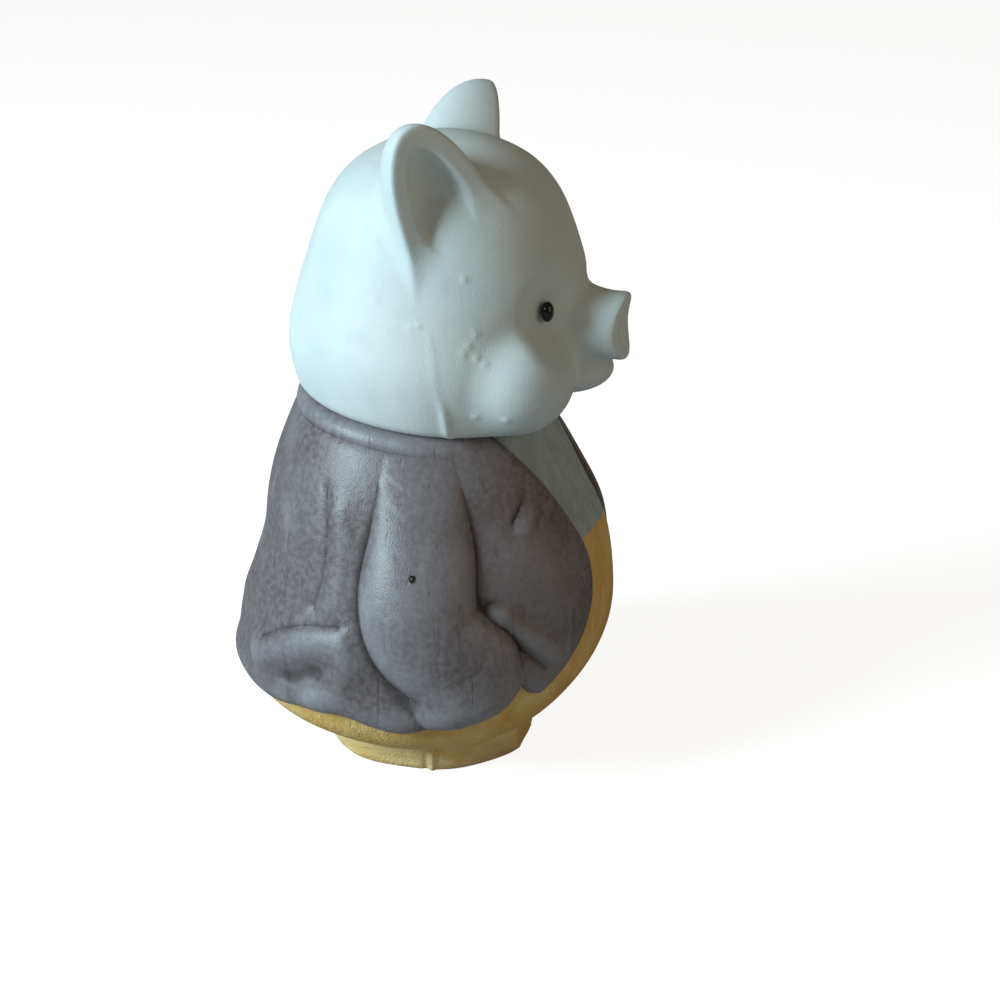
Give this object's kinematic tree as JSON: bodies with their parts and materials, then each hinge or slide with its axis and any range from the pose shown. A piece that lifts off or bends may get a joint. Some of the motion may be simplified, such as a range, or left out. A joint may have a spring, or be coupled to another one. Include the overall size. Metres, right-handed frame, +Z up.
{
  "type": "pig figurine",
  "caption": "Dressed pig figurine in painted bisque: a hollow standing body with a separate hollow head that turns on a loose sleeve in its neck and lifts off.",
  "frame": {"origin": "middle of the flat underside of the plinth", "axes": "+Z up, the pig faces -Y, its left side is +X"},
  "size_m": [0.0628, 0.0599, 0.1006],
  "materials": {
    "white_bisque": "bare white bisque, matt, with small casting bumps",
    "coat_paint": "bisque brushed with a thin dark taupe paint, matt and streaky",
    "shirt_paint": "bisque brushed with a pale blue-grey paint, matt",
    "trouser_paint": "bisque brushed with a yellow ochre paint, matt, thinner at the foot",
    "eye_enamel": "black enamel, glossy",
    "sleeve_board": "plain wound board, matt"
  },
  "bodies": {
    "figure": {"plinth": "trouser_paint", "trousers": "trouser_paint", "shirt": "shirt_paint", "shirt_placket": "shirt_paint", "jacket": "coat_paint", "jacket_collar": "coat_paint", "lapel_left": "coat_paint", "lapel_right": "coat_paint", "arm_left": "coat_paint", "arm_right": "coat_paint", "pocket_left": "coat_paint", "pocket_right": "coat_paint"},
    "sleeve": {"neck_sleeve": "sleeve_board"},
    "head": {"head_shell": "white_bisque", "snout": "white_bisque", "ear_left": "white_bisque", "ear_right": "white_bisque", "eye_left": "eye_enamel", "eye_right": "eye_enamel"}
  },
  "joints": [
    {"name": "head_turn", "type": "hinge", "parent": "figure", "child": "sleeve", "pos_m": [0, 0, 0.056], "axis": [0, -0.0958, 0.9954], "continuous": true},
    {"name": "head_lift", "type": "slide", "parent": "sleeve", "child": "head", "axis": [0, -0.0958, 0.9954], "range_m": [0, 0.05]}
  ]
}
